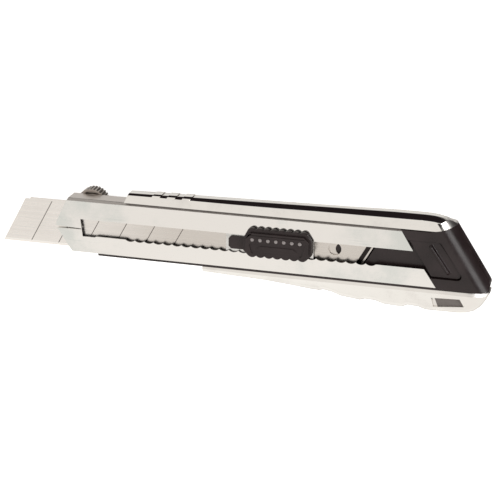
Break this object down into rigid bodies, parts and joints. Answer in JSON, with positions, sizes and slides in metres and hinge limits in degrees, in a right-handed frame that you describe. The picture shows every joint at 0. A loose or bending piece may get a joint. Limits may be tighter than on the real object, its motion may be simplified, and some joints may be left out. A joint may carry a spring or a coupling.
{
  "type": "utility knife",
  "caption": "Heavy snap-off segment blade utility knife with a steel sleeve, thumb slider, knurled blade lock wheel, finger grip and a rear magazine cap.",
  "frame": {"origin": "middle of the flat back cover that the knife rests on, under the middle of the body's length", "axes": "+X from the nose to the end cap, +Y towards the spine, +Z out of the face with the thumb slider"},
  "size_m": [0.255, 0.0506, 0.0222],
  "materials": {
    "polished_steel": "mirror polished sheet with fine rubbed marks",
    "chrome_plate": "bright plated casting",
    "cast_alloy": "silver lacquered casting",
    "blade_steel": "satin ground",
    "bright_steel": "bright rolled sheet",
    "wheel_steel": "turned and knurled",
    "screw_steel": "zinc plated",
    "spring_steel": "blued spring strip",
    "pad_brass": "turned",
    "black_plastic": "fine moulded texture",
    "slider_plastic": "satin moulded",
    "cap_plastic": "satin, glossy where it is handled",
    "grey_plastic": "satin moulded"
  },
  "bodies": {
    "frame": {"sleeve": "polished_steel", "liner": "black_plastic", "nose_guide": "black_plastic", "frame_casting": "cast_alloy", "top_rail": "chrome_plate", "lower_grip": "chrome_plate", "grip_inlay": "grey_plastic", "back_cover": "black_plastic", "cover_screws": "screw_steel", "rail_screws": "screw_steel", "grip_screws": "screw_steel", "sleeve_rivets": "screw_steel", "follower_spring": "spring_steel", "wheel_washer": "bright_steel", "wheel_bracket": "bright_steel", "bracket_rivet": "screw_steel", "bracket_screw": "screw_steel"},
    "carriage": {"thumb_slider": "slider_plastic", "carrier_plate": "bright_steel", "blade_stud": "screw_steel", "slider_rivets": "screw_steel", "detent_spring": "spring_steel", "blade": "blade_steel"},
    "magazine": {"spare_blade_1": "blade_steel", "spare_blade_2": "blade_steel", "follower_plate": "black_plastic"},
    "wheel": {"lock_wheel": "wheel_steel"},
    "clamp": {"clamp_screw": "screw_steel", "clamp_pad": "pad_brass"},
    "cap": {"end_cap": "cap_plastic", "latch_spring": "spring_steel"},
    "latch": {"latch_button": "cap_plastic"}
  },
  "joints": [
    {"name": "carriage_slide", "type": "slide", "parent": "frame", "child": "carriage", "axis": [-1, 0, 0], "range_m": [-0.045, 0.075]},
    {"name": "magazine_lift", "type": "slide", "parent": "frame", "child": "magazine", "axis": [0, 0, -1], "range_m": [0, 0.002], "stiffness_N_per_m": 500, "springref_m": -0.004, "deforming": ["follower_spring"]},
    {"name": "lock_wheel_turn", "type": "hinge", "parent": "frame", "child": "wheel", "pos_m": [-0.0953, 0.0092, 0.0042], "axis": [0, 0, 1], "range_deg": [0, 270]},
    {"name": "clamp_travel", "type": "slide", "parent": "frame", "child": "clamp", "axis": [0, 0, -1], "range_m": [0, 0.00075]},
    {"name": "cap_slide", "type": "slide", "parent": "frame", "child": "cap", "axis": [1, 0, 0], "range_m": [0, 0.045]},
    {"name": "latch_press", "type": "slide", "parent": "cap", "child": "latch", "axis": [0, 0, -1], "range_m": [0, 0.001], "stiffness_N_per_m": 400, "springref_m": -0.001, "deforming": ["latch_spring"]}
  ],
  "couplings": [
    {"joint": "lock_wheel_turn", "follows": "clamp_travel", "rad_per_m": 6283.1}
  ]
}
